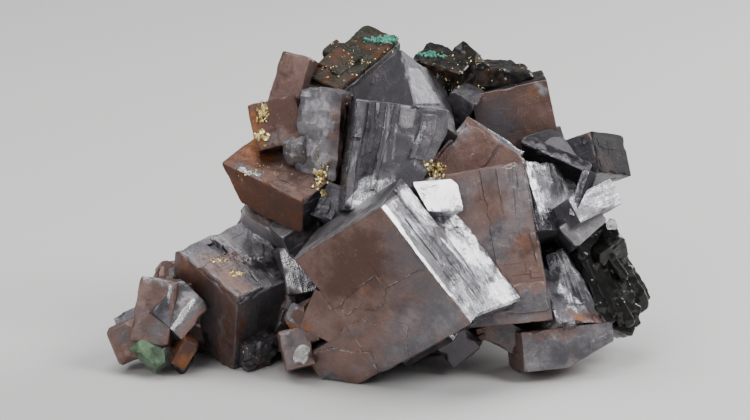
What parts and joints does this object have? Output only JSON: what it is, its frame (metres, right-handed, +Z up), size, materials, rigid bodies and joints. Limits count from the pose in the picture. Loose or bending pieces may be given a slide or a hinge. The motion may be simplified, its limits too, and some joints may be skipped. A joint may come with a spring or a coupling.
{
  "type": "galena specimen",
  "caption": "Cluster of intergrown lead-grey galena cubes with rusty and bright silver faces, dark sphalerite and small grains of other minerals, cut flat below.",
  "frame": {"origin": "centre of the bounding box in plan, at the level of the cut base", "axes": "+X along the specimen's length, to the right as the picture shows it; +Y to its back; +Z up"},
  "size_m": [0.1326, 0.0829, 0.0764],
  "materials": {
    "galena": "metallic lead grey, part rusty brown film, part bright silver cleavage",
    "sphalerite": "dark, resinous, rough",
    "chalcopyrite": "brassy metallic grains",
    "malachite": "earthy green crust",
    "green": "dull green crystal",
    "quartz": "clear crystal"
  },
  "bodies": {
    "root": {"galena_cluster": "galena", "sphalerite_top_right": "sphalerite", "sphalerite_right_flank": "sphalerite", "sphalerite_top_plate": "sphalerite", "chalcopyrite_left_upper": "chalcopyrite", "chalcopyrite_left_lower": "chalcopyrite", "chalcopyrite_shelf": "chalcopyrite", "chalcopyrite_shelf_front": "chalcopyrite", "chalcopyrite_centre": "chalcopyrite", "chalcopyrite_low_back": "chalcopyrite", "chalcopyrite_low_front": "chalcopyrite", "malachite_top_plate": "malachite", "malachite_top_right": "malachite", "green_crystal": "green", "quartz_front": "quartz", "quartz_right": "quartz"}
  },
  "joints": []
}
